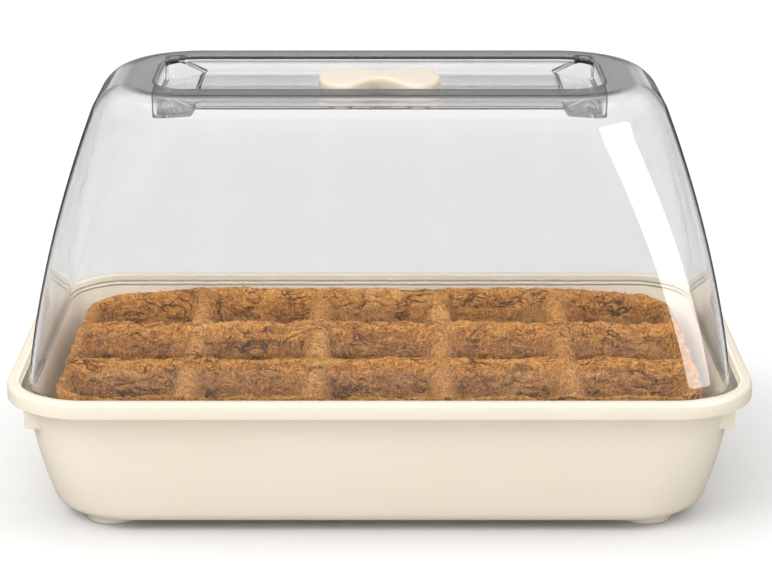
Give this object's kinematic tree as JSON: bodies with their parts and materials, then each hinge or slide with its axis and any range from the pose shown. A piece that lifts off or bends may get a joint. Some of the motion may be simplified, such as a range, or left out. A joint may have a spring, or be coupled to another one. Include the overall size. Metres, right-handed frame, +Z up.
{
  "type": "humidity dome tray",
  "caption": "Seed-starting tray with a clear lift-off humidity dome, a turning vent knob in the dome's sunk top and a sheet of joined coir pots inside.",
  "frame": {"origin": "middle of the footprint on the surface that the feet stand on", "axes": "+X along the tray's length to the right, +Y to the back, +Z up"},
  "size_m": [0.38, 0.24, 0.2195],
  "materials": {
    "cream_plastic": "satin moulded",
    "clear_plastic": "clear polished",
    "knob_plastic": "satin moulded",
    "coir": "pressed coconut fibre"
  },
  "bodies": {
    "tray": {"tray_floor": "cream_plastic", "tray_wall": "cream_plastic", "tray_rim": "cream_plastic", "tray_foot_front_left": "cream_plastic", "tray_foot_back_left": "cream_plastic", "tray_foot_front_right": "cream_plastic", "tray_foot_back_right": "cream_plastic"},
    "dome": {"dome": "clear_plastic"},
    "vent": {"vent_knob": "knob_plastic", "vent_retainer": "knob_plastic"},
    "pots": {"coir_pot_r1_c1": "coir", "coir_pot_r1_c2": "coir", "coir_pot_r1_c3": "coir", "coir_pot_r1_c4": "coir", "coir_pot_r1_c5": "coir", "coir_pot_r2_c1": "coir", "coir_pot_r2_c2": "coir", "coir_pot_r2_c3": "coir", "coir_pot_r2_c4": "coir", "coir_pot_r2_c5": "coir", "coir_pot_r3_c1": "coir", "coir_pot_r3_c2": "coir", "coir_pot_r3_c3": "coir", "coir_pot_r3_c4": "coir", "coir_pot_r3_c5": "coir"}
  },
  "joints": [
    {"name": "dome_lift", "type": "slide", "parent": "tray", "child": "dome", "axis": [0, 0, 1], "range_m": [0, 0.15]},
    {"name": "vent_turn", "type": "hinge", "parent": "dome", "child": "vent", "pos_m": [0, 0, 0.2098], "axis": [0, 0, 1], "range_deg": [0, 90]},
    {"name": "pot_lift", "type": "slide", "parent": "tray", "child": "pots", "axis": [0, 0, 1], "range_m": [0, 0.02]}
  ]
}
